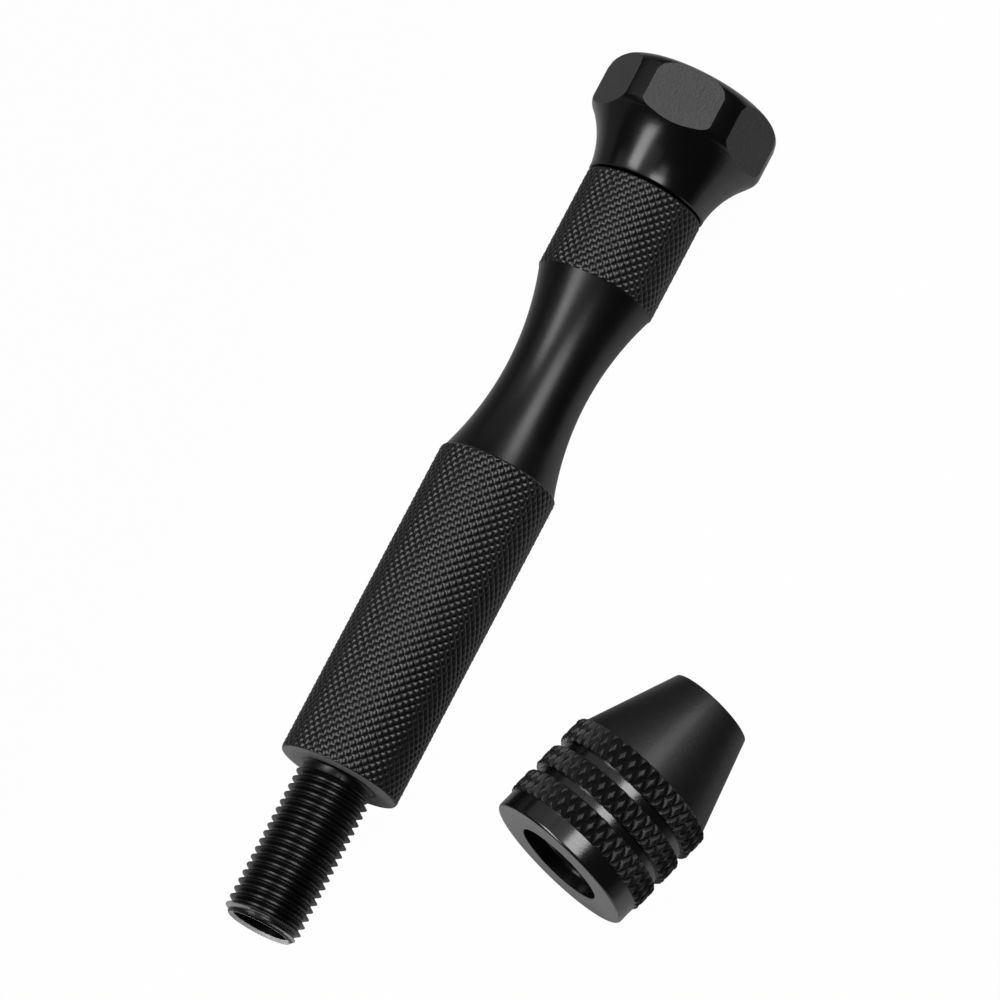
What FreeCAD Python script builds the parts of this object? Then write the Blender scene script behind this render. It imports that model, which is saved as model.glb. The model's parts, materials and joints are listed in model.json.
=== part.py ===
# Pocket hand drill: a turned handle with a palm cap that spins on a small ball bearing, and its
# keyless chuck, unscrewed and lying beside the handle. Millimetres, +Z up, everything rests on z = 0.
#
# The handle is drawn along its own axis: height 0 is the grip's lower end face, the threaded spindle
# goes down from it and the palm cap is at the top. The chuck is drawn the same way from its rear face
# to its nose. Both are then laid on the floor: the spindle points to +X, the chuck lies on the +Y side.
import FreeCAD, Part
import math
import os

V = FreeCAD.Vector

# ---- screw thread that joins chuck and spindle (M7 x 0.75) ----
thread_d = 7.0
thread_pitch = 0.75
thread_depth = 0.41
thread_play = 0.05

# ---- handle: spindle, grip, waist and collar, turned from one bar ----
spindle_length = 14.4
spindle_bore_d = 5.2
spindle_bore_depth = 22.0
spindle_end_d = 5.72
spindle_neck_length = 0.95
spindle_neck_fillet = 0.3
grip_d = 10.85
grip_length = 29.45
grip_chamfer = 0.2
waist_d = 7.5
waist_end_d = 10.4
waist_length = 17.8
collar_d = 10.75
collar_length = 9.45
collar_chamfer = 0.15

# ---- ball bearing under the palm cap, 683 size: 3 x 7 x 3 ----
bearing_bore_d = 3.0
bearing_d = 7.0
bearing_width = 3.0
inner_ring_wall = 0.65
outer_ring_wall = 0.55
ball_d = 1.2
ball_count = 7
race_play = 0.06
race_conformity = 1.1
shield_thickness = 0.15
shield_inset = 0.1
shield_seat_depth = 0.1
shield_gap = 0.15
cage_thickness = 0.34
cage_width = 1.5
pocket_play = 0.08

# ---- cap screw (M3 socket head) and the washer under it ----
screw_d = 3.0
screw_play = 0.02
screw_length = 10.0
screw_head_d = 5.5
screw_head_height = 3.0
socket_across_flats = 2.5
socket_depth = 1.6
screw_hole_spare = 2.0
drill_point_angle = 118.0
washer_d = 4.3
washer_thickness = 0.5
boss_height = 0.35

# ---- palm cap ----
cap_gap = 0.2
cap_neck_d = 10.82
cap_neck_edge = 0.1
cap_neck_height = 0.45
cap_flare_mid_d = 12.66
cap_flare_mid_height = 3.35
cap_flange_d = 15.9
cap_flange_start = 5.3
cap_flange_edge = 0.25
cap_height = 10.25
cap_top_round = 1.65
cap_flat_count = 6
cap_across_flats = 14.6
head_clearance = 0.3
head_bore_chamfer = 0.4

# ---- chuck sleeve ----
sleeve_length = 18.5
sleeve_collar_d = 13.94
sleeve_rear_edge = 0.2
sleeve_groove_d = 13.4
band_d = 14.42
band_starts = (1.8, 4.8, 7.75)
band_widths = (2.25, 2.1, 2.3)
band_chamfer = 0.15
cone_d = 13.66
nose_d = 7.96
nose_chamfer = 0.15
counterbore_d = 8.1
counterbore_depth = 1.2
counterbore_edge = 0.05
nose_bore_d = 3.9
nose_bore_chamfer = 0.2
jaw_cone_angle = 18.0
jaw_wall_gap = 0.15
cavity_start = 9.3

# ---- jaw base, jaws and jaw springs ----
jaw_base_play = 0.07
jaw_base_thickness = 2.2
jaw_base_bore_d = 3.5
jaw_count = 3
jaw_travel = 1.5
jaw_play = 0.06
jaw_parallel = 0.95
jaw_tip_setback = 0.05
smallest_drill_d = 0.3
jaw_side_gap = 0.16
tail_start = 0.6
tail_end = 1.35
tail_neck_width = 0.9
tail_head_width = 1.6
tail_lip = 0.85
tail_floor = 0.6
tail_play = 0.08
spring_d = 0.9
spring_wire_d = 0.14
spring_turns = 6
spring_hole_d = 1.1
spring_hole_depth = 0.75
spring_hole_radius = 1.7
spring_hole_height = 1.1
spring_end_play = 0.05

# ---- where the loose chuck lies: its rear face, seen from the grip's lower end face ----
chuck_x = -1.25
chuck_y = 19.97
chuck_heading = 163.58

# ---- the bearing's rings, from its bore and outer size ----
inner_land_d = bearing_bore_d + 2 * inner_ring_wall
outer_land_d = bearing_d - 2 * outer_ring_wall
shield_seat_d = outer_land_d + 2 * shield_seat_depth

# ---- heights along the handle that follow from the sizes above ----
grip_top = grip_length
waist_top = grip_top + waist_length
collar_top = waist_top + collar_length
bearing_bottom = collar_top + boss_height
bearing_middle = bearing_bottom + bearing_width / 2
bearing_top = bearing_bottom + bearing_width
screw_seat = bearing_top + washer_thickness
cap_bottom = collar_top + cap_gap
cap_top = cap_bottom + cap_height

# ---- heights along the chuck that follow, jaws open ----
jaw_slope = math.tan(math.radians(jaw_cone_angle))
sleeve_travel = jaw_travel / jaw_slope
jaws_open = cavity_start + jaw_play
jaws_closed = jaws_open + sleeve_travel
jaw_length = sleeve_length - jaw_tip_setback - jaws_closed
base_bottom = jaws_open - jaw_play - jaw_base_thickness


def turned(outline):
    """Solid of revolution about Z. outline lists (radius, height) corners. A corner given as
    (radius, height, mid radius, mid height) is reached by an arc through that middle point."""
    edges = []
    for start, end in zip(outline[-1:] + outline[:-1], outline):
        a = V(start[0], 0, start[1])
        b = V(end[0], 0, end[1])
        if len(end) == 4:
            edges.append(Part.Arc(a, V(end[2], 0, end[3]), b).toShape())
        else:
            edges.append(Part.makeLine(a, b))
    face = Part.Face(Part.Wire(edges))
    return face.revolve(V(0, 0, 0), V(0, 0, 1), 360)


def tube(outer_d, inner_d, bottom, top):
    """Plain ring about Z."""
    corners = [(inner_d / 2, bottom), (outer_d / 2, bottom), (outer_d / 2, top), (inner_d / 2, top)]
    return turned(corners)


def thread_corners(crest, root, start, end):
    """Corners of thread turns with 60 degree flanks, from height start towards end."""
    flat = thread_pitch / 8
    flank = abs(crest - root) * math.tan(math.radians(30))
    step = math.copysign(1, end - start)
    corners = []
    for turn in range(int(abs(end - start) / thread_pitch)):
        z = start + step * turn * thread_pitch
        corners.append((crest, z))
        corners.append((crest, z + step * flat))
        corners.append((root, z + step * (flat + flank)))
        corners.append((root, z + step * (thread_pitch - flank)))
    last = start + step * int(abs(end - start) / thread_pitch) * thread_pitch
    corners.append((crest, last))
    corners.append((crest, last + step * flat))
    return corners


def arc_corner(start, end, centre):
    """Corner of turned() that leads from start to end by an arc about centre."""
    radius = math.dist(start, centre)
    middle = ((start[0] + end[0]) / 2 - centre[0], (start[1] + end[1]) / 2 - centre[1])
    scale = radius / math.hypot(*middle)
    return (*end, centre[0] + middle[0] * scale, centre[1] + middle[1] * scale)


def around(shape, count, start=0.0):
    """Copies of shape turned about Z at equal angles, as a list."""
    copies = []
    for i in range(count):
        copy = shape.copy()
        copy.rotate(V(0, 0, 0), V(0, 0, 1), start + i * 360 / count)
        copies.append(copy)
    return copies


def handle_body():
    """Spindle with its hollow end, grip, waist and collar, with the tapped hole for the cap screw."""
    crest = thread_d / 2 - thread_play
    root = crest - thread_depth
    rim = spindle_end_d / 2
    chamfer_top = -spindle_length + crest - rim
    neck = root + thread_depth / 3
    fillet = spindle_neck_fillet
    grip = grip_d / 2
    collar = collar_d / 2
    waist_edge = waist_end_d / 2
    bore = spindle_bore_d / 2
    bore_end = -spindle_length + spindle_bore_depth
    hole = screw_d / 2
    hole_end = screw_seat - screw_length - screw_hole_spare
    point = math.tan(math.radians(90 - drill_point_angle / 2))
    outline = [(bore, -spindle_length), (rim, -spindle_length)]
    outline += thread_corners(crest, root, chamfer_top, -spindle_neck_length - thread_pitch / 2)
    outline += [
        (neck, -spindle_neck_length),
        (neck, -fillet),
        arc_corner((neck, -fillet), (neck + fillet, 0), (neck + fillet, -fillet)),
        (grip - grip_chamfer, 0),
        (grip, grip_chamfer),
        (grip, grip_top - (grip - waist_edge)),
        (waist_edge, grip_top),
        (waist_edge, waist_top, waist_d / 2, grip_top + waist_length / 2),
        (collar, waist_top + collar - waist_edge),
        (collar, collar_top - collar_chamfer),
        (collar - collar_chamfer, collar_top),
        (inner_land_d / 2, collar_top),
        (inner_land_d / 2, bearing_bottom),
        (hole, bearing_bottom),
        (hole, hole_end),
        (0, hole_end - hole * point),
        (0, bore_end + bore * point),
        (bore, bore_end),
    ]
    return turned(outline)


def race_groove():
    """Torus that cuts both ball grooves, about the bearing's middle."""
    pitch = (inner_land_d + outer_land_d) / 4
    groove = Part.makeTorus(pitch, ball_d / 2 * race_conformity)
    groove.translate(V(0, 0, bearing_middle))
    return groove


def bearing_inner_ring():
    """Inner ring with its ball groove, clamped between the boss and the washer."""
    ring = tube(inner_land_d, bearing_bore_d, bearing_bottom, bearing_top)
    return ring.cut(race_groove())


def bearing_outer_ring():
    """Outer ring with its ball groove and a seat at each end for a shield."""
    ring = tube(bearing_d, outer_land_d, bearing_bottom, bearing_top)
    seat = shield_inset + shield_thickness
    ring = ring.cut(tube(shield_seat_d, bearing_bore_d, bearing_bottom, bearing_bottom + seat))
    ring = ring.cut(tube(shield_seat_d, bearing_bore_d, bearing_top - seat, bearing_top))
    return ring.cut(race_groove())


def bearing_shield(bottom):
    """Thin steel disc that closes one side of the bearing and turns with the outer ring."""
    return tube(shield_seat_d, inner_land_d + 2 * shield_gap, bottom, bottom + shield_thickness)


def balls():
    """Balls of the bearing, spaced evenly in the cage."""
    pitch = (inner_land_d + outer_land_d) / 4
    ball = Part.makeSphere(ball_d / 2 - race_play, V(pitch, 0, bearing_middle))
    return around(ball, ball_count)


def bearing_balls():
    """The set of balls as one group of separate solids."""
    return Part.makeCompound(balls())


def cage_half(bottom, top):
    """Half of the ribbon cage: a thin ring with a round pocket for each ball."""
    pitch = (inner_land_d + outer_land_d) / 2
    ring = tube(pitch + cage_thickness, pitch - cage_thickness, bottom, top)
    radius = ball_d / 2 - race_play + pocket_play
    pocket = Part.makeCylinder(radius, pitch, V(0, 0, bearing_middle), V(1, 0, 0))
    for cut in around(pocket, ball_count):
        ring = ring.cut(cut)
    return ring


def spacer_washer():
    """Washer that keeps the screw head clear of the turning cap and shield."""
    return tube(washer_d, screw_d, bearing_top, screw_seat)


def cap_screw():
    """Socket head screw through washer and inner ring into the handle, with a hexagon socket."""
    head_top = screw_seat + screw_head_height
    shank = screw_d / 2 - screw_play
    edge = screw_head_height / 10
    outline = [
        (0, screw_seat - screw_length),
        (shank - edge, screw_seat - screw_length),
        (shank, screw_seat - screw_length + edge),
        (shank, screw_seat),
        (screw_head_d / 2, screw_seat),
        (screw_head_d / 2, head_top - edge),
        (screw_head_d / 2 - edge, head_top),
        (0, head_top),
    ]
    corner = socket_across_flats / 2 / math.cos(math.pi / 6)
    angles = [math.pi / 3 * i for i in range(7)]
    corners = [V(corner * math.cos(angle), corner * math.sin(angle), 0) for angle in angles]
    socket = Part.Face(Part.makePolygon(corners)).extrude(V(0, 0, socket_depth))
    socket.translate(V(0, 0, head_top - socket_depth))
    return turned(outline).cut(socket)


def cap_flare_height():
    """Height of the flare where its radius equals the flats' distance from the axis."""
    bottom = (cap_neck_d / 2, cap_bottom + cap_neck_height)
    middle = (cap_flare_mid_d / 2, cap_bottom + cap_flare_mid_height)
    top = (cap_flange_d / 2 - cap_flange_edge, cap_bottom + cap_flange_start)
    circle = Part.Circle(V(bottom[0], 0, bottom[1]), V(middle[0], 0, middle[1]), V(top[0], 0, top[1]))
    centre = circle.Center
    across = cap_across_flats / 2 - centre.x
    return centre.z + math.copysign(math.sqrt(circle.Radius ** 2 - across ** 2), middle[1] - centre.z)


def swivel_cap():
    """Palm cap: neck, hollow flare, round flange with milled flats, bearing pocket from below and a
    bore from above for the screw head."""
    neck = cap_neck_d / 2
    flange = cap_flange_d / 2
    head_bore = screw_head_d / 2 + head_clearance
    flange_bottom = cap_bottom + cap_flange_start
    round_start = (flange, cap_top - cap_top_round)
    round_end = (flange - cap_top_round, cap_top)
    outline = [
        (bearing_d / 2, cap_bottom),
        (neck - cap_neck_edge, cap_bottom),
        (neck, cap_bottom + cap_neck_edge),
        (neck, cap_bottom + cap_neck_height),
        (
            flange - cap_flange_edge,
            flange_bottom,
            cap_flare_mid_d / 2,
            cap_bottom + cap_flare_mid_height,
        ),
        (flange, flange_bottom + cap_flange_edge),
        round_start,
        arc_corner(round_start, round_end, (flange - cap_top_round, cap_top - cap_top_round)),
        (head_bore + head_bore_chamfer, cap_top),
        (head_bore, cap_top - head_bore_chamfer),
        (head_bore, bearing_top),
        (bearing_d / 2, bearing_top),
    ]
    cap = turned(outline)
    milled = Part.makeBox(flange, 2 * flange, cap_height, V(cap_across_flats / 2, -flange, cap_bottom))
    for cut in around(milled, cap_flat_count):
        cap = cap.cut(cut)
    return cap


def chuck_sleeve():
    """Outer sleeve: plain collar, three raised bands parted by grooves, tapered nose, internal thread
    at the rear and an internal cone that closes the jaws."""
    minor = thread_d / 2 - thread_depth
    major = thread_d / 2 + thread_play
    collar = sleeve_collar_d / 2
    groove = sleeve_groove_d / 2
    band = band_d / 2
    nose = nose_d / 2
    nose_bore = nose_bore_d / 2
    nose_bore_cone = nose_bore + nose_bore_chamfer * jaw_slope
    cavity = jaw_tip() + jaw_back_rise() + jaw_outward() + jaw_travel + jaw_wall_gap
    cone_back = sleeve_length - (cavity - nose_bore) / jaw_slope
    mouth = counterbore_d / 2
    outline = [
        (mouth, counterbore_depth),
        (mouth, counterbore_edge),
        (mouth + counterbore_edge, 0),
        (collar - sleeve_rear_edge, 0),
        (collar, sleeve_rear_edge),
    ]
    below = collar
    for start, width in zip(band_starts, band_widths):
        outline.append((below, start))
        if below < band - band_chamfer:
            outline.append((band - band_chamfer, start))
        outline += [
            (band, start + band_chamfer),
            (band, start + width - band_chamfer),
            (band - band_chamfer, start + width),
            (groove, start + width),
        ]
        below = groove
    cone_start = outline.pop()[1]
    outline += [
        (cone_d / 2, cone_start),
        (nose, sleeve_length - nose_chamfer),
        (nose - nose_chamfer, sleeve_length),
        (nose_bore_cone + nose_bore_chamfer, sleeve_length),
        (nose_bore_cone, sleeve_length - nose_bore_chamfer),
        (cavity, cone_back),
        (cavity, cavity_start),
        (minor, cavity_start),
    ]
    outline += thread_corners(
        minor, major, cavity_start - thread_pitch / 4, counterbore_depth + thread_pitch / 8
    )
    outline.append((minor, counterbore_depth))
    return turned(outline)


def jaw_base():
    """Disc behind the jaws that bears on the spindle's end, with a T-slot for each jaw's tail and a
    through hole for the drill's shank."""
    radius = thread_d / 2 - thread_depth - jaw_base_play
    disc = tube(2 * radius, jaw_base_bore_d, 0, jaw_base_thickness)
    lip = jaw_base_thickness - tail_lip
    neck = tail_neck_width / 2 + tail_play
    head = tail_head_width / 2 + tail_play
    slot = Part.makeBox(thread_d, 2 * neck, jaw_base_thickness, V(0, -neck, lip))
    slot = slot.fuse(Part.makeBox(thread_d, 2 * head, lip - tail_floor, V(0, -head, tail_floor)))
    for cut in around(slot, jaw_count):
        disc = disc.cut(cut)
    disc.translate(V(0, 0, base_bottom))
    return disc


def jaw_outward():
    """How far a jaw's own centre lies outside the chuck's axis when the jaws are closed."""
    return jaw_side_gap / 2 / math.sin(math.pi / jaw_count)


def jaw_tip():
    """Radius of a jaw's tip from the jaw's own centre, so that it closes against the sleeve's cone."""
    cone_at_tip = nose_bore_d / 2 + jaw_tip_setback * jaw_slope
    return cone_at_tip - jaw_play / math.cos(math.radians(jaw_cone_angle)) - jaw_outward()


def jaw_back_rise():
    """How much further out than its tip the back of a jaw is at its base."""
    return (jaw_length - jaw_parallel) * jaw_slope


def jaw():
    """One jaw, open and on +X: a sector whose back follows the sleeve's cone, with a T-shaped tail in
    the jaw base and a blind hole in each side for a spring."""
    tip = jaw_tip()
    back = tip + jaw_back_rise()
    outline = [(0, 0), (back, 0), (back, jaw_parallel), (tip, jaw_length), (0, jaw_length)]
    corners = [V(r, 0, z) for r, z in outline]
    face = Part.Face(Part.makePolygon(corners + corners[:1]))
    sector = face.revolve(V(0, 0, 0), V(0, 0, 1), 360 / jaw_count)
    sector.rotate(V(0, 0, 0), V(0, 0, 1), -180 / jaw_count)
    hole = Part.makeCylinder(
        spring_hole_d / 2,
        2 * spring_hole_depth,
        V(spring_hole_radius, spring_hole_depth, spring_hole_height),
        V(0, -1, 0),
    )
    for side in (-1, 1):
        cut = hole.copy()
        cut.rotate(V(0, 0, 0), V(0, 0, 1), side * 180 / jaw_count)
        sector = sector.cut(cut)
    sector.translate(V(jaw_outward(), 0, 0))
    sector = sector.cut(Part.makeCylinder(smallest_drill_d / 2, jaw_length))
    head_top = -jaw_play - tail_lip - tail_play
    head_height = jaw_base_thickness - tail_lip - tail_floor - 2 * tail_play
    length = tail_end - tail_start
    neck = Part.makeBox(length, tail_neck_width, -head_top, V(tail_start, -tail_neck_width / 2, head_top))
    head = Part.makeBox(
        length, tail_head_width, head_height, V(tail_start, -tail_head_width / 2, head_top - head_height)
    )
    whole = sector.fuse([neck, head]).removeSplitter()
    whole.translate(V(jaw_travel, 0, jaws_open))
    return whole


def spring_length():
    """Length of a jaw spring between the bottoms of its two holes, jaws open."""
    gap = 2 * (jaw_outward() + jaw_travel) * math.sin(math.pi / jaw_count)
    return gap + 2 * (spring_hole_depth - spring_end_play)


def jaw_spring():
    """Coil spring between the jaw on +X and the next one, which pushes them apart."""
    length = spring_length() - spring_wire_d
    coil = (spring_d - spring_wire_d) / 2
    helix = Part.makeHelix(length / spring_turns, length, coil)
    wire = Part.Wire(Part.Edge(Part.Circle(V(coil, 0, 0), V(0, 1, 0), spring_wire_d / 2)))
    spring = Part.Wire(helix).makePipeShell([wire], True, True)
    spring.translate(V(0, 0, -length / 2))
    spring.rotate(V(0, 0, 0), V(1, 0, 0), -90)
    from_axis = (jaw_outward() + jaw_travel) * math.cos(math.pi / jaw_count) + spring_hole_radius
    spring.translate(V(from_axis, 0, jaws_open + spring_hole_height))
    spring.rotate(V(0, 0, 0), V(0, 0, 1), 180 / jaw_count)
    return spring


def handle_placement():
    """Lays the handle down on one flat of its cap and on the grip's lower edge, spindle to +X."""
    flat = cap_across_flats / 2
    grip = grip_d / 2
    tilt = math.atan((flat - grip) / (cap_flare_height() - grip_chamfer))
    height = grip * math.cos(tilt) - grip_chamfer * math.sin(tilt)
    across = V(math.sin(tilt), 0, math.cos(tilt))
    along = V(-math.cos(tilt), 0, math.sin(tilt))
    turn = FreeCAD.Rotation(across, V(0, 1, 0), along, "ZXY")
    return FreeCAD.Placement(V(0, 0, height), turn)


def chuck_placement():
    """Lays the chuck down on its raised bands, nose along its heading."""
    heading = math.radians(chuck_heading)
    along = V(math.cos(heading), math.sin(heading), 0)
    side = V(math.sin(heading), -math.cos(heading), 0)
    turn = FreeCAD.Rotation(V(0, 0, 1), side, along, "ZXY")
    return FreeCAD.Placement(V(chuck_x, chuck_y, band_d / 2), turn)


def assembly():
    """Every sub-part in place, as {node name: shape}, with the origin under the middle of the whole."""
    shield_low = bearing_bottom + shield_inset
    shield_high = bearing_top - shield_inset - shield_thickness
    on_handle = {
        "handle_body": handle_body(),
        "bearing_inner_ring": bearing_inner_ring(),
        "spacer_washer": spacer_washer(),
        "cap_screw": cap_screw(),
        "swivel_cap": swivel_cap(),
        "bearing_outer_ring": bearing_outer_ring(),
        "bearing_shield_lower": bearing_shield(shield_low),
        "bearing_shield_upper": bearing_shield(shield_high),
        "bearing_cage_lower": cage_half(bearing_middle - cage_width / 2, bearing_middle),
        "bearing_cage_upper": cage_half(bearing_middle, bearing_middle + cage_width / 2),
        "bearing_balls": bearing_balls(),
    }
    in_chuck = {"chuck_sleeve": chuck_sleeve(), "jaw_base": jaw_base()}
    for i, shape in enumerate(around(jaw(), jaw_count)):
        in_chuck["jaw_%d" % (i + 1)] = shape
    for i, shape in enumerate(around(jaw_spring(), jaw_count)):
        in_chuck["jaw_spring_%d" % (i + 1)] = shape
    placed = {}
    for group, placement in ((on_handle, handle_placement()), (in_chuck, chuck_placement())):
        for name, shape in group.items():
            placed[name] = shape.copy()
            placed[name].transformShape(placement.toMatrix())
    whole = Part.makeCompound(list(placed.values())).optimalBoundingBox(False)
    middle = V((whole.XMin + whole.XMax) / 2, (whole.YMin + whole.YMax) / 2, 0)
    for shape in placed.values():
        shape.translate(-middle)
    return placed, middle


os.makedirs("parts", exist_ok=True)
shapes, middle = assembly()
for name, shape in shapes.items():
    shape.exportStep("parts/%s.step" % name)
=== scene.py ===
import json
import math

import bmesh
import bpy
import numpy as np
from mathutils import Matrix, Vector


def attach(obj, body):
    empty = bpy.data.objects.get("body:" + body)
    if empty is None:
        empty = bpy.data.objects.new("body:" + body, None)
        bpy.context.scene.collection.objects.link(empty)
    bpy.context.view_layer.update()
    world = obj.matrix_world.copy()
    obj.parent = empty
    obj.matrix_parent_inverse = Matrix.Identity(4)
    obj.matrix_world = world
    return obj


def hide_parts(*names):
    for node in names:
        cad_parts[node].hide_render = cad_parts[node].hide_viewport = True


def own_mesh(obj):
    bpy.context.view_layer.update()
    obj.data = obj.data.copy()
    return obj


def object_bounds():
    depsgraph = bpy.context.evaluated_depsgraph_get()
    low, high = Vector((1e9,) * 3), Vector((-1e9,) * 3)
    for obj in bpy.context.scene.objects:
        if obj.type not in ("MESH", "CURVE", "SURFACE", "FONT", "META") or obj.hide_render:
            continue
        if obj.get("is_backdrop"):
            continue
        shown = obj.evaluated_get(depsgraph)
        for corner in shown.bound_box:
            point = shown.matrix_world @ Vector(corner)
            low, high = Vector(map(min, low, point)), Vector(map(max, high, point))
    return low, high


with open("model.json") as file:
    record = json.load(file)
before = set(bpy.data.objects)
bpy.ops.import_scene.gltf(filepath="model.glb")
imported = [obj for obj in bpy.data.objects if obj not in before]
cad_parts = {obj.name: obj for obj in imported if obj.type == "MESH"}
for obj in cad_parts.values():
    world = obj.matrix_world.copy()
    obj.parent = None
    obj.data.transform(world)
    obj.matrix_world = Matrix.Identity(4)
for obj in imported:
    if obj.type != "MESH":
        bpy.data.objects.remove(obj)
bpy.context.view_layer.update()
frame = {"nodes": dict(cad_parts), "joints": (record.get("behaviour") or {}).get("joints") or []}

# ---------------------------------------------------------------- camera
# A long lens looks steeply down on the handle, which lies across the view, and on the loose chuck.
look_at = Vector((-0.002744, -0.010604, 0.0))
view_height = math.radians(72.944)
view_side = math.radians(27.02)
view_distance = 0.68033
back = Vector((math.cos(view_height) * math.cos(view_side), math.cos(view_height) * math.sin(view_side),
               math.sin(view_height)))
right = Vector((0, 0, 1)).cross(back).normalized()
camera = bpy.data.objects.new("camera", bpy.data.cameras.new("camera"))
camera.data.lens = 288
camera.data.sensor_width = 36
camera.data.clip_start = 0.01
camera.matrix_world = Matrix.Translation(look_at + back * view_distance) @ Matrix(
    (right, back.cross(right), back)).transposed().to_4x4()
bpy.context.scene.collection.objects.link(camera)
bpy.context.scene.camera = camera

# ---------------------------------------------------------------- spindle
# Threaded, hollow end of the handle. It is turned from the same black anodised aluminium bar as the
# rest, with a cut M7 x 0.75 thread, a short plain neck and a bore that takes a drill's tail. The
# rim is bare metal painted near white, a painted highlight, and the black is rubbed off the
# outermost turn of the thread.
mm = 0.001
cap_spin_height = 58.55
cap_spin = next(joint for joint in frame["joints"] if joint["name"] == "cap_spin")
handle_axis = np.array(cap_spin["axis"])
handle_foot = np.array(cap_spin["pos_m"]) - cap_spin_height * mm * handle_axis


def around_axis(radius, height, angle, foot, axis):
    """Points of a turned surface. A point is foot + height along the axis + radius times
    (cos(angle) times the axis's own upward normal + sin(angle) times axis cross that normal)."""
    up = np.array((0, 0, 1.0)) - axis * axis[2]
    up /= np.linalg.norm(up)
    side = np.cross(axis, up)
    radius, height, angle = (a[..., None] for a in np.broadcast_arrays(radius, height, angle))
    return foot + mm * (height * axis + radius * (np.cos(angle) * up + np.sin(angle) * side))


def skin(name, points, sharp, split=None, paint=None):
    """Mesh over a grid of points, rows by columns. Each four neighbours make a face, or two where
    split says which diagonal: True joins the lower left corner to the upper right. paint numbers
    each face's material. Equal points are merged, and edges that bend by more than sharp degrees
    stay crisp."""
    rows, columns = points.shape[:2]
    index = np.arange(rows * columns).reshape(rows, columns)
    a, b, c, d = index[:-1, :-1], index[:-1, 1:], index[1:, 1:], index[1:, :-1]
    if split is None:
        faces = np.stack((a, b, c, d), -1).reshape(-1, 4)
    else:
        first = np.where(split[..., None], np.stack((a, b, c), -1), np.stack((a, b, d), -1))
        second = np.where(split[..., None], np.stack((a, c, d), -1), np.stack((b, c, d), -1))
        faces = np.concatenate((first.reshape(-1, 3), second.reshape(-1, 3)))
    mesh = bpy.data.meshes.new(name)
    mesh.from_pydata(points.reshape(-1, 3).tolist(), [], faces.tolist())
    if paint is not None:
        paint = np.asarray(paint, np.int32).ravel()
        mesh.polygons.foreach_set("material_index", np.tile(paint, len(mesh.polygons) // len(paint)))
    form = bmesh.new()
    form.from_mesh(mesh)
    bmesh.ops.remove_doubles(form, verts=form.verts, dist=2e-7)
    form.to_mesh(mesh)
    form.free()
    mesh.polygons.foreach_set("use_smooth", np.ones(len(mesh.polygons), bool))
    mesh.set_sharp_from_angle(angle=math.radians(sharp))
    piece = bpy.data.objects.new(name, mesh)
    bpy.context.scene.collection.objects.link(piece)
    return piece


def thread_rise(turns):
    """Height of the thread's section over its root, 0 to 1, at a number of turns: a narrow crest, a
    straight flank, a flat root and the other flank."""
    return np.interp(turns % 1.0, (0, 0.04, 0.42, 0.62, 1), (1, 1, 0, 0, 1))


spindle_length = 14.4
bore_radius = 2.6
mouth_radius = 2.86
neck_radius = 3.14
fillet_radius = 0.3
thread_pitch = 0.75
thread_crest = 3.41
thread_root = 3.0
thread_start = 0.81
run_out_start, run_out_end = -0.95, -0.7
worn_length = 0.65
thread_rows = np.array((0, 0.04, 0.135, 0.23, 0.325, 0.42, 0.52, 0.62, 0.715, 0.81, 0.905))
turn_rows = (np.arange(-21, 1)[:, None] + thread_rows).ravel()
spindle_angle = np.linspace(0, 2 * np.pi, 145)
turned = thread_start + spindle_angle / (2 * np.pi)
height = np.clip(thread_pitch * (turn_rows[:, None] + turned), -spindle_length, run_out_end)
radius = thread_root + (thread_crest - thread_root) * thread_rise(height / thread_pitch - turned)
run_out = np.clip((height - run_out_start) / (run_out_end - run_out_start), 0, 1)
radius = np.minimum(radius * (1 - run_out) + neck_radius * run_out, mouth_radius + height + spindle_length)
fillet = np.linspace(0, np.pi / 2, 7)
neck = np.stack((neck_radius + fillet_radius * (1 - np.cos(fillet)), fillet_radius * (np.sin(fillet) - 1)), 1)
rim = np.array(((0, 0.28), (0.06, 0.18), (0.17, 0.02), (0.19, 0), (0.22, 0), (0.25, 0.02)))
before = np.concatenate((((bore_radius, 0),), rim + (bore_radius, -spindle_length)))
after = np.concatenate((neck, ((bore_radius, 0),)))
ones = np.ones_like(spindle_angle)
radius = np.concatenate((before[:, :1] * ones, radius, after[:, :1] * ones))
height = np.concatenate((before[:, 1:] * ones, height, after[:, 1:] * ones))
finish = np.zeros((len(height) - 1, len(spindle_angle) - 1), int)
# The rim's rows take the near white material, a painted highlight on the bare rim.
finish[1:len(before) - 1] = 1
worn = (radius > thread_root) & (height < worn_length - spindle_length)
finish[worn[:-1, :-1] & worn[1:, 1:]] = 2
points = around_axis(radius, height, spindle_angle, handle_foot, handle_axis)
spindle = skin("spindle", points, 24, None, finish)


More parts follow.
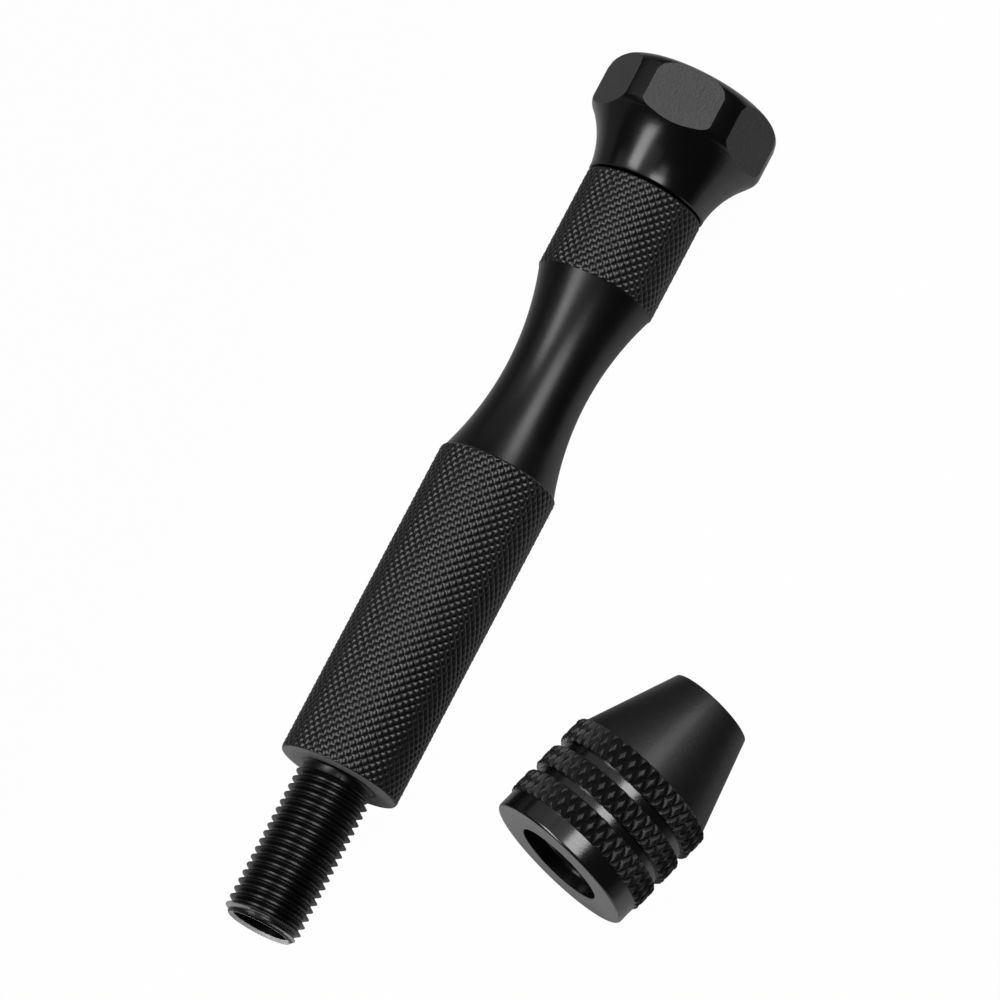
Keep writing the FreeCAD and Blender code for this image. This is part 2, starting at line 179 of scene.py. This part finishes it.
def anodised(name, tint, gloss, scratch_size, lay, grain_size=5200, grain_share=0.45, depth=0.02,
             metallic=0.0, ior=1.5):
    """Black dyed anodising on turned aluminium: a near black body with fine lines left by the tool
    round the work's axis, and a roughness that varies a little from place to place. lay is the
    stretch of the line pattern along X, Y and Z, grain_share the part of a fine etched grain and
    depth the height of both in millimetres. Roughness is gloss less 0.05 to gloss plus 0.07, and the
    colour 0.8 to 1.25 times tint, as a cloudy noise says. metallic and ior go to the shader as they
    are, for bare edges and steel and for a glossier skin."""
    material = bpy.data.materials.new(name)
    material.use_nodes = True
    nodes, links = material.node_tree.nodes, material.node_tree.links
    surface = nodes["Principled BSDF"]
    place = nodes.new("ShaderNodeTexCoord")
    turned = nodes.new("ShaderNodeMapping")
    turned.inputs["Scale"].default_value = lay
    lines = nodes.new("ShaderNodeTexNoise")
    lines.inputs["Scale"].default_value = scratch_size
    lines.inputs["Detail"].default_value = 3
    cloud = nodes.new("ShaderNodeTexNoise")
    cloud.inputs["Scale"].default_value = 260
    cloud.inputs["Detail"].default_value = 4
    grain = nodes.new("ShaderNodeTexNoise")
    grain.inputs["Scale"].default_value = grain_size
    grain.inputs["Detail"].default_value = 2
    shade = nodes.new("ShaderNodeMapRange")
    shade.inputs["To Min"].default_value = gloss - 0.05
    shade.inputs["To Max"].default_value = gloss + 0.07
    colour = nodes.new("ShaderNodeMix")
    colour.data_type = "RGBA"
    colour.inputs["A"].default_value = (*[c * 0.8 for c in tint], 1)
    colour.inputs["B"].default_value = (*[c * 1.25 for c in tint], 1)
    both = nodes.new("ShaderNodeMath")
    both.operation = "MULTIPLY_ADD"
    both.inputs[1].default_value = grain_share
    relief = nodes.new("ShaderNodeBump")
    relief.inputs["Strength"].default_value = 0.25
    relief.inputs["Distance"].default_value = depth * mm
    links.new(place.outputs["Object"], turned.inputs["Vector"])
    links.new(turned.outputs["Vector"], lines.inputs["Vector"])
    links.new(place.outputs["Object"], cloud.inputs["Vector"])
    links.new(place.outputs["Object"], grain.inputs["Vector"])
    links.new(cloud.outputs["Fac"], shade.inputs["Value"])
    links.new(shade.outputs["Result"], surface.inputs["Roughness"])
    links.new(cloud.outputs["Fac"], colour.inputs["Factor"])
    links.new(colour.outputs["Result"], surface.inputs["Base Color"])
    links.new(grain.outputs["Fac"], both.inputs[0])
    links.new(lines.outputs["Fac"], both.inputs[2])
    links.new(both.outputs["Value"], relief.inputs["Height"])
    links.new(relief.outputs["Normal"], surface.inputs["Normal"])
    surface.inputs["Metallic"].default_value = metallic
    surface.inputs["IOR"].default_value = ior
    return material


handle_black = anodised("handle_black", (0.0022, 0.0022, 0.0024), 0.30, 900, (12, 0.6, 0.6))
# Near white with little metal: the rim's painted highlight.
rim_white_painted_highlight = anodised("rim_white_painted_highlight", (0.95, 0.95, 0.95), 0.4, 900, (1, 1, 1), metallic=0.2)
worn_edge = anodised("worn_edge", (0.5, 0.5, 0.5), 0.28, 900, (1, 1, 1), metallic=1.0)
for material in (handle_black, rim_white_painted_highlight, worn_edge):
    spindle.data.materials.append(material)
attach(spindle, "handle")
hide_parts("handle_body")

# ---------------------------------------------------------------- grip
# Long knurled grip of the same bar. Two knurling wheels at 45 degrees pressed 39 grooves round it
# each way, so that small rounded four-sided tips stand between them.
grip_length = 29.45
grip_radius = 5.425
grooves_round = 39
rows_per_groove = 8
grip_pitch = 0.8654
knurl_start = 0.35
knurl_depth = 0.13
tip_bluntness = 0.6


def knurl(u, v):
    """Distances to the knurl's two sets of grooves, 0 in the groove and 0.5 half way to the next, of
    points u grooves round and v grooves along: those of u + v and u - v from a whole number."""
    one = np.abs(u + v - np.round(u + v))
    other = np.abs(u - v - np.round(u - v))
    return one, other


def knurled(u, v):
    """Height of the tips, 0 in a groove and 1 at a tip, at each grid point: the product of the sines
    of both distances, as half turns, to the power of the tips' bluntness. Also the diagonals that
    follow the grooves."""
    one, other = knurl(u[None, :], v[:, None])
    rise = (np.sin(np.pi * one) * np.sin(np.pi * other)) ** tip_bluntness
    one, other = knurl((u[None, :-1] + u[None, 1:]) / 2, (v[:-1, None] + v[1:, None]) / 2)
    return rise, other < one


def knurled_turning(name, before, row_heights, start, limit, crest, after, pitch):
    """Closed turned piece with a knurled middle. before and after are the plain corners, as radius
    and height; between them each row of row_heights has the crest's radius less the groove's
    depth, and never more than limit, which holds the chamfers. start is where the rows count from
    and pitch the length of one groove along the piece."""
    columns = grooves_round * rows_per_groove + 1
    angle = np.linspace(0, 2 * np.pi, columns)
    rise, split = knurled(np.linspace(0, grooves_round, columns), (row_heights - start) / pitch)
    radius = np.minimum(crest - knurl_depth * (1 - rise), limit[:, None])
    before, after = np.array(before, float), np.array(after, float)
    ones = np.ones(columns)
    radius = np.concatenate((before[:, :1] * ones, radius, after[:, :1] * ones))
    height = np.concatenate((before[:, 1:] * ones, row_heights[:, None] * ones, after[:, 1:] * ones))
    plain = np.ones(columns - 1, bool)
    split = np.concatenate([np.tile(plain, (len(before), 1)), split, np.tile(plain, (len(after), 1))])
    finish = np.zeros(split.shape, int)
    # The face after the last plain corner takes the second material; on the grip its pale grey is partly
    # painted light from the lower left.
    finish[len(before) - 1] = 1
    return skin(name, around_axis(radius, height, angle, handle_foot, handle_axis), 50, split, finish)


rows = knurl_start + np.arange(-4, 271) * grip_pitch / rows_per_groove
rows = np.unique(np.clip(rows, 0, grip_length))
limit = np.interp(rows, (0, 0.05, 0.14, 29.12, 29.25, 29.36, grip_length),
                  (5.28, 5.37, grip_radius, grip_radius, 5.40, 5.33, 5.2))
grip = knurled_turning("grip", ((0, 9.16), (bore_radius, 7.6), (bore_radius, 0), (3.477, 0)), rows,
                       knurl_start, limit, grip_radius, ((0, grip_length),), grip_pitch)
knurl_black = anodised("knurl_black", (0.0024, 0.0024, 0.0026), 0.34, 900, (12, 0.6, 0.6), ior=1.64)
# Pale grey end face: a paler faced finish with painted light from the lower left added to it.
faced_grey_painted_light = anodised("faced_grey_painted_light", (0.26, 0.26, 0.262), 0.42, 1500, (1, 1, 1), 3600, 1.6, 0.04)
grip.data.materials.append(knurl_black)
grip.data.materials.append(faced_grey_painted_light)
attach(grip, "handle")
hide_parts("handle_body")

# ---------------------------------------------------------------- waist
# Smooth hollow between grip and collar, turned to one large arc, a little fuller towards the
# collar, with the finest of tool marks.
waist_radius = 3.75
waist_middle = 38.35
collar_start = 47.25
half, sag = 8.9, 1.45
lean = 0.04
sweep = np.linspace(-1, 1, 65)
arc_radius = (half ** 2 + sag ** 2) / (2 * sag)
radius = waist_radius + arc_radius - np.sqrt(arc_radius ** 2 - (half * sweep) ** 2)
radius += lean * np.clip(sweep, 0, 0.9)
height = waist_middle + half * sweep
radius = np.concatenate(((0,), radius, (0,)))
height = np.concatenate(((grip_length,), height, (collar_start,)))
angle = np.linspace(0, 2 * np.pi, 145)
waist = skin("waist", around_axis(radius[:, None], height[:, None], angle, handle_foot, handle_axis), 30)
waist.data.materials.append(handle_black)
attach(waist, "handle")
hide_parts("handle_body")

# ---------------------------------------------------------------- collar
# Short knurled collar under the palm cap. Its end carries the boss that the bearing sits on and the
# tapped hole for the cap screw.
collar_length = 9.45
collar_radius = 5.375
collar_rows = 90
collar_end = collar_start + collar_length
collar_pitch = collar_length / (collar_rows - 1) * rows_per_groove
rows = collar_start + np.linspace(0, collar_length, collar_rows)
limit = np.interp(rows, (collar_start, collar_start + 0.17, collar_end - 0.15, collar_end),
                  (5.2, collar_radius, collar_radius, 5.225))
boss = ((2.15, collar_end), (2.15, 57.05), (1.5, 57.05), (1.5, 48.55), (0, 47.65))
collar = knurled_turning("collar", ((0, collar_start),), rows, collar_start - collar_pitch / 4, limit,
                         collar_radius, boss, collar_pitch)
collar.data.materials.append(knurl_black)
collar.data.materials.append(handle_black)
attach(collar, "handle")
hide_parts("handle_body")

# ---------------------------------------------------------------- palm cap
# Cap that rests in the palm and spins on the bearing inside it: black anodised aluminium, turned with
# a hollow flare and a rounded flange, then milled with six flats that have a duller, paler cut face.
flat_distance = 7.30
flange_radius = 7.95
shoulder_radius = 1.65
shoulder_middle = np.array((6.3, 65.5))


def circle_through(one, two, three):
    """Centre and radius of the circle through three points, from their perpendicular bisectors."""
    rows = 2 * (np.array((two, three)) - np.array(one))
    sums = np.sum(np.array((two, three)) ** 2, 1) - np.sum(np.array(one) ** 2)
    centre = np.linalg.solve(rows, sums)
    return centre, math.dist(centre, one)


flare_centre, flare_radius = circle_through((5.41, 57.35), (6.33, 60.25), (7.55, 62.02))
past_flat = np.linspace(0, math.acos(flat_distance / 7.55), 8)
reach = np.concatenate((np.linspace(5.41, flat_distance, 20)[:-1], flat_distance / np.cos(past_flat)))
rise = np.sqrt(flare_radius ** 2 - (reach - flare_centre[0]) ** 2)
flare = np.stack((reach, flare_centre[1] + rise), 1)
edge_centre, edge_radius = circle_through((7.55, 62.02), (7.84, 62.36), (7.95, 62.80))
reach = np.array((7.62, 7.69, 7.76, 7.83, 7.89, 7.93, 7.95))
rise = np.sqrt(np.maximum(edge_radius ** 2 - (reach - edge_centre[0]) ** 2, 0))
edge = np.stack((reach, edge_centre[1] - rise), 1)
past_flat = np.linspace(math.acos(flat_distance / flange_radius), 0, 12)
reach = np.concatenate((flat_distance / np.cos(past_flat),
                        np.linspace(flat_distance, shoulder_middle[0], 14)[1:]))
rise = np.sqrt(np.maximum(shoulder_radius ** 2 - (reach - shoulder_middle[0]) ** 2, 0))
shoulder = np.stack((reach, shoulder_middle[1] + rise), 1)
lower_lip = ((3.5, 56.9), (5.31, 56.9), (5.41, 57.0))
hollow = ((3.45, 67.15), (3.05, 66.75), (3.05, 60.05), (3.5, 60.05), (3.5, 56.9))
outline = np.concatenate((lower_lip, flare, edge, ((flange_radius, 64.2),), shoulder, hollow))
radius, height = outline[:, :1], outline[:, 1:]
cut = np.arccos(np.minimum(flat_distance / np.maximum(radius, 1), 1))
cut[:len(lower_lip)] = cut[-len(hollow):] = 0
flat_share = np.sin(np.linspace(0, np.pi / 2, 11))[None]
round_share = np.linspace(0, 1, 8)[None, 1:]
half_flat = np.pi / 6
half_sector = np.concatenate((cut * flat_share, cut + (half_flat - cut) * round_share), 1)
sector = np.concatenate((-half_sector[:, :0:-1], half_sector), 1)
sectors = [sector[:, :-1] + k * 2 * half_flat for k in range(6)]
angle = np.concatenate(sectors + [sector[:, :1] + 2 * np.pi], 1)
local = (angle + half_flat) % (2 * half_flat) - half_flat
sliced = np.minimum(radius, flat_distance / np.cos(local))
radius = np.where(radius > flat_distance, sliced, radius * np.ones_like(angle))
on_flat = np.abs(local) < cut + 1e-6
milled = on_flat[:-1, :-1] & on_flat[:-1, 1:] & on_flat[1:, 1:] & on_flat[1:, :-1]
milled &= cut[:-1] + cut[1:] > 1e-6
palm_cap = skin("palm_cap", around_axis(radius, height, angle, handle_foot, handle_axis), 12, paint=milled)
cap_black = anodised("cap_black", (0.0022, 0.0022, 0.0024), 0.20, 900, (12, 0.6, 0.6), ior=1.6)
milled_black = anodised("milled_black", (0.028, 0.028, 0.0285), 0.42, 1500, (1, 8, 1), 3600, 2.5, 0.06)
palm_cap.data.materials.append(cap_black)
palm_cap.data.materials.append(milled_black)
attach(palm_cap, "cap")
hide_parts("swivel_cap")

# ---------------------------------------------------------------- chuck sleeve
# Black oxide steel sleeve of the keyless chuck: plain collar, three bands with a coarse diamond
# knurl, two grooves between them and a satin cone. The rear face is ground and duller, and painted
# pale grey, partly its own paler finish and partly painted light from the lower left.
chuck_spin = next(joint for joint in frame["joints"] if joint["name"] == "chuck_spin")
chuck_axis = -np.array(chuck_spin["axis"])
chuck_spin_height = 7.1
chuck_rear = np.array(chuck_spin["pos_m"]) - chuck_spin_height * mm * chuck_axis
sleeve_length = 18.5
rear_radius = 6.97
groove_radius = 6.7
band_radius = 7.21
band_chamfer = 0.15
bands = ((1.8, 4.05), (4.8, 6.9), (7.75, 10.05))
diamonds_round = 40
columns_per_diamond = 16
diamond_length = 2.067
diamond_height = 0.38
diamond_floor = 6.83
diamond_middle = 5.87
diamond_turn = 0.5 - 2.75 / 9
hair = 0.0001
step = diamond_length / columns_per_diamond
band_height = np.concatenate([
    np.arange(math.ceil((low - diamond_middle) / step), math.floor((high - diamond_middle) / step) + 1)
    for low, high in bands]) * step + diamond_middle
plain_height = (0, 0.03, 0.08, 0.14, 0.2, 0.26, 0.8, 1.79, 4.06, 4.12, 4.73, 4.79, 6.91, 6.97, 7.68, 7.74)
row_height = np.unique(np.round(np.concatenate((band_height, plain_height, np.ravel(bands))), 6))
corners = [(0, 6.8), (0.03, 6.87), (0.08, 6.92), (0.14, 6.955), (0.2, rear_radius)]
beside = rear_radius
for low, high in bands:
    corners += [(low - hair, beside), (low, band_radius - band_chamfer), (low + band_chamfer, band_radius),
                (high - band_chamfer, band_radius), (high, band_radius - band_chamfer)]
    corners += [(high + hair, groove_radius)]
    beside = groove_radius
band_top = np.interp(row_height, *np.transpose(corners))
band_floor = np.where(row_height < bands[0][0], band_top, np.minimum(band_top, diamond_floor))
columns = diamonds_round * columns_per_diamond + 1
angle = np.linspace(0, 2 * np.pi, columns)
u = np.linspace(0, diamonds_round, columns) + diamond_turn
v = (row_height - diamond_middle) / diamond_length
near = np.minimum(*knurl(u[None], v[:, None]))
one, other = knurl((u[None, :-1] + u[None, 1:]) / 2, (v[:-1, None] + v[1:, None]) / 2)
between = other < one
rise = np.interp(near, (0, 0.0625, 0.25, 0.3125, 0.375), (0, 0.24, 0.87, 0.97, 1))
radius = np.minimum(band_floor[:, None] + diamond_height * rise, band_top[:, None])
cone_start = bands[-1][1]
cone = np.array(((diamond_floor, cone_start), (diamond_floor, cone_start + 0.001), (3.98, 18.35),
                 (3.94, 18.45), (3.83, sleeve_length), (3.0, sleeve_length), (5.0, 12.0), (5.0, 1.0),
                 (4.1, 0.0), (6.8, 0.0)))
ones = np.ones(columns)
radius = np.concatenate((radius, cone[:, :1] * ones))
height = np.concatenate((row_height[:, None] * ones, cone[:, 1:] * ones))
split = np.concatenate((between, np.ones((len(cone), columns - 1), bool)))
finish = np.zeros(split.shape, int)
finish[:len(row_height) - 1][band_top[:-1] > rear_radius] = 3
finish[len(row_height) + 1:] = 1
# The rear face takes the pale grey material, partly painted light from the lower left.
finish[-1] = 2
points = around_axis(radius, height, angle, chuck_rear, chuck_axis)
sleeve = skin("chuck_sleeve_outside", points, 28, split, finish)
chuck_black = anodised("chuck_black", (0.0014, 0.0014, 0.0015), 0.19, 900, (8, 2, 2), ior=1.86)
band_black = anodised("band_black", (0.003, 0.003, 0.0032), 0.46, 900, (8, 2, 2))
cone_black = anodised("cone_black", (0.002, 0.002, 0.0022), 0.5, 900, (8, 2, 2), 3600, 1.2, 0.04)
# Pale grey rear face: ground finish with painted light from the lower left added.
ground_grey_painted_light = anodised("ground_grey_painted_light", (0.26, 0.26, 0.262), 0.36, 1500, (1, 1, 1), 3600, 2.0, 0.04)
cone_black.node_tree.nodes["Principled BSDF"].inputs["Coat Weight"].default_value = 0.12
cone_black.node_tree.nodes["Principled BSDF"].inputs["Coat Roughness"].default_value = 0.2
for material in (chuck_black, cone_black, ground_grey_painted_light, band_black):
    sleeve.data.materials.append(material)
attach(sleeve, "sleeve")
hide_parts("chuck_sleeve")

# ---------------------------------------------------------------- chuck sleeve, inside
# The same steel sleeve from within: counterbored mouth, M7 x 0.75 thread, the wide cavity where the
# jaws stand open and the cone that closes them towards the nose.
inner_root = 3.55
inner_crest = 3.09
counterbore_radius, counterbore_depth = 4.05, 1.2
thread_lead = 0.5
thread_end = 9.3
thread_fade = 0.3
angle = np.linspace(0, 2 * np.pi, 121)
turned = angle / (2 * np.pi)
turn_rows = (np.arange(14, -2, -1)[:, None] - thread_rows).ravel()
height = np.clip(thread_pitch * (turn_rows[:, None] + turned), counterbore_depth, thread_end)
radius = inner_root - (inner_root - inner_crest) * thread_rise(height / thread_pitch - turned)
fade = np.minimum((thread_end - height) / thread_fade, 1)
radius = inner_crest + (radius - inner_crest) * fade
radius = np.maximum(radius, inner_crest + np.maximum(counterbore_depth + thread_lead - height, 0))
before = np.array(((4.1, 0.0), (5.0, 1.0), (5.0, 12.0), (3.0, sleeve_length), (2.215, sleeve_length),
                   (2.015, 18.3), (4.698, 10.0425), (4.698, thread_end), (3.12, thread_end)))
after = np.array(((counterbore_radius, counterbore_depth), (counterbore_radius, 0.05), (4.1, 0.0)))
ones = np.ones_like(angle)
radius = np.concatenate((before[:, :1] * ones, radius, after[:, :1] * ones))
height = np.concatenate((before[:, 1:] * ones, height, after[:, 1:] * ones))
bore = skin("chuck_sleeve_inside", around_axis(radius, height, angle, chuck_rear, chuck_axis), 24)
bore.data.materials.append(chuck_black)
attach(bore, "sleeve")
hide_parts("chuck_sleeve")

# ---------------------------------------------------------------- jaws and their base
# Three hardened steel jaws slide in the T-slots of a round base, inside the sleeve.
jaw_steel = anodised("jaw_steel", (0.16, 0.16, 0.165), 0.34, 1500, (4, 1, 1), metallic=1.0)
for name in ("jaw_base", "jaw_1", "jaw_2", "jaw_3"):
    frame["nodes"][name].data.materials.clear()
    frame["nodes"][name].data.materials.append(jaw_steel)

# ---------------------------------------------------------------- jaw springs
# Small coil springs of bright spring wire stand in blind holes between the jaws and push them apart.
spring_steel = anodised("spring_steel", (0.5, 0.5, 0.51), 0.25, 1500, (4, 1, 1), metallic=1.0)
spring_length = 4.158
spring_height = 10.46
spring_distance = 2.496
spring_turns = 6
coil_radius = 0.38
wire_radius = 0.07
up = np.array((0, 0, 1.0))
side = np.cross(chuck_axis, up)
along = np.linspace(0, 1, 181)[:, None, None]
ring = np.linspace(0, 2 * np.pi, 11)[None, :, None]
for number in (1, 2, 3):
    turn = math.radians(120 * (number - 1) + 60)
    outward = up * math.cos(turn) + side * math.sin(turn)
    tangent = -up * math.sin(turn) + side * math.cos(turn)
    middle = chuck_rear + mm * (spring_height * chuck_axis + spring_distance * outward)
    coil = 2 * np.pi * spring_turns * along
    spoke = np.cos(coil) * outward + np.sin(coil) * chuck_axis
    run = (along - 0.5) * (spring_length - 2 * wire_radius) * tangent
    line = middle + mm * (coil_radius * spoke + run)
    points = line + mm * wire_radius * (np.cos(ring) * spoke + np.sin(ring) * tangent)
    ends = (line[:1] + 0 * points[:1], line[-1:] + 0 * points[-1:])
    spring = skin("spring_%d" % number, np.concatenate((ends[0], points, ends[1])), 40)
    spring.data.materials.append(spring_steel)
    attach(spring, "jaw_%d" % number)
    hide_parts("jaw_spring_%d" % number)
    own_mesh(spring)

# ---------------------------------------------------------------- ball bearing
# Small shielded ball bearing of ground steel inside the cap, with polished balls in a ribbon cage.
bearing_steel = anodised("bearing_steel", (0.6, 0.6, 0.62), 0.22, 1500, (4, 1, 1), metallic=1.0)
ball_steel = anodised("ball_steel", (0.75, 0.75, 0.76), 0.1, 1500, (1, 1, 1), grain_share=0.1, depth=0.002,
                      metallic=1.0)
cage_steel = anodised("cage_steel", (0.45, 0.44, 0.42), 0.38, 1500, (1, 4, 1), metallic=1.0)
for name, material in (("bearing_inner_ring", bearing_steel), ("bearing_outer_ring", bearing_steel),
                       ("bearing_shield_lower", bearing_steel), ("bearing_shield_upper", bearing_steel),
                       ("bearing_cage_lower", cage_steel), ("bearing_cage_upper", cage_steel),
                       ("bearing_balls", ball_steel), ("spacer_washer", bearing_steel)):
    frame["nodes"][name].data.materials.clear()
    frame["nodes"][name].data.materials.append(material)

# ---------------------------------------------------------------- cap screw
# Black oxide socket head screw that holds bearing and cap to the handle.
screw_black = anodised("screw_black", (0.02, 0.02, 0.021), 0.3, 900, (4, 1, 1))
frame["nodes"]["cap_screw"].data.materials.clear()
frame["nodes"]["cap_screw"].data.materials.append(screw_black)

# ---------------------------------------------------------------- floor, light and backdrop
# The table looks evenly white, but the colour that lights the drill from below and shows in its
# reflections is grey, with painted shade that darkens it beyond a strip under handle and chuck.
# Two soft boxes overhead on the chuck's side make one long strip, a wide one hangs on the other
# side, and two faint ones there lift the dark sides.
floor_reach = 3
bright_middle = 0.009
bright_half, dull_half = 0.026, 0.046
mirrored_share = 0.03
backdrop_share = 0.985
floor_mesh = bpy.data.meshes.new("floor")
corners = [(x * floor_reach, y * floor_reach, 0) for x, y in ((-1, -1), (1, -1), (1, 1), (-1, 1))]
floor_mesh.from_pydata(corners, [], [(0, 1, 2, 3)])
floor = bpy.data.objects.new("floor", floor_mesh)
bpy.context.scene.collection.objects.link(floor)
white = bpy.data.materials.new("floor_white")
white.use_nodes = True
nodes, links = white.node_tree.nodes, white.node_tree.links
surface = nodes["Principled BSDF"]
place = nodes.new("ShaderNodeTexCoord")
parts = nodes.new("ShaderNodeSeparateXYZ")
offset = nodes.new("ShaderNodeMath")
offset.operation = "SUBTRACT"
offset.inputs[1].default_value = bright_middle
away = nodes.new("ShaderNodeMath")
away.operation = "ABSOLUTE"
# Painted shade: the floor's colour falls from 0.5 to 0.12 away from the strip under the drill.
shade_beyond_strip = nodes.new("ShaderNodeMapRange")
shade_beyond_strip.inputs["From Min"].default_value = bright_half
shade_beyond_strip.inputs["From Max"].default_value = dull_half
shade_beyond_strip.inputs["To Min"].default_value = 0.5
shade_beyond_strip.inputs["To Max"].default_value = 0.12
links.new(place.outputs["Object"], parts.inputs["Vector"])
links.new(parts.outputs["Y"], offset.inputs[0])
links.new(offset.outputs["Value"], away.inputs[0])
links.new(away.outputs["Value"], shade_beyond_strip.inputs["Value"])
links.new(shade_beyond_strip.outputs["Result"], surface.inputs["Base Color"])
surface.inputs["Roughness"].default_value = 0.9
surface.inputs["Specular IOR Level"].default_value = 0.1
glow = nodes.new("ShaderNodeEmission")
ray = nodes.new("ShaderNodeLightPath")
mirrored = nodes.new("ShaderNodeMath")
mirrored.operation = "MAXIMUM"
dimmed = nodes.new("ShaderNodeMath")
dimmed.operation = "MULTIPLY"
dimmed.inputs[1].default_value = mirrored_share
seen = nodes.new("ShaderNodeMath")
seen.operation = "MAXIMUM"
share = nodes.new("ShaderNodeMath")
share.operation = "MULTIPLY"
share.inputs[1].default_value = backdrop_share
blend = nodes.new("ShaderNodeMixShader")
links.new(ray.outputs["Is Glossy Ray"], mirrored.inputs[0])
links.new(ray.outputs["Is Transmission Ray"], mirrored.inputs[1])
links.new(mirrored.outputs["Value"], dimmed.inputs[0])
links.new(dimmed.outputs["Value"], seen.inputs[0])
links.new(ray.outputs["Is Camera Ray"], seen.inputs[1])
links.new(seen.outputs["Value"], share.inputs[0])
links.new(share.outputs["Value"], blend.inputs["Fac"])
links.new(surface.outputs["BSDF"], blend.inputs[1])
links.new(glow.outputs["Emission"], blend.inputs[2])
links.new(blend.outputs["Shader"], nodes["Material Output"].inputs["Surface"])
floor_mesh.materials.append(white)
floor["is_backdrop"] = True

world = bpy.data.worlds.new("room")
bpy.context.scene.world = world
world.use_nodes = True
nodes, links = world.node_tree.nodes, world.node_tree.links
room = nodes["Background"]
room.inputs["Color"].default_value = (1, 1, 1, 1)
room.inputs["Strength"].default_value = 0.03
backdrop = nodes.new("ShaderNodeBackground")
ray = nodes.new("ShaderNodeLightPath")
blend = nodes.new("ShaderNodeMixShader")
links.new(ray.outputs["Is Camera Ray"], blend.inputs["Fac"])
links.new(room.outputs["Background"], blend.inputs[1])
links.new(backdrop.outputs["Background"], blend.inputs[2])
links.new(blend.outputs["Shader"], nodes["World Output"].inputs["Surface"])


def soft_box(name, middle, aim, width, length, power):
    """Rectangular soft box at middle that faces aim, with its length as near along X as that lets."""
    lamp = bpy.data.lights.new(name, "AREA")
    lamp.shape = "RECTANGLE"
    lamp.size = length
    lamp.size_y = width
    lamp.energy = power
    box = bpy.data.objects.new(name, lamp)
    z = (Vector(middle) - Vector(aim)).normalized()
    x = (Vector((1, 0, 0)) - z * z.x).normalized()
    box.matrix_world = Matrix.Translation(middle) @ Matrix((x, z.cross(x), z)).transposed().to_4x4()
    bpy.context.scene.collection.objects.link(box)


soft_box("long_strip", (-0.62, 0.205, 1.0), (-0.62, 0.205, 0), 0.45, 1.16, 8.2)
soft_box("strip_end", (0.09, 0.24, 1.0), (0.09, 0.24, 0), 0.26, 0.26, 0.29)
soft_box("left_box", (0.53, -0.81, 1.0), (0.53, -0.81, 0), 0.54, 1.54, 14.4)
soft_box("between", (-0.4, -0.28, 1.05), (-0.4, -0.28, 0), 0.5, 2.0, 1.0)
soft_box("fill", (-0.5, -1.35, 0.95), (0, 0, 0), 1.3, 1.5, 1.4)

bpy.context.scene.view_settings.view_transform = "Standard"

low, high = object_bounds()
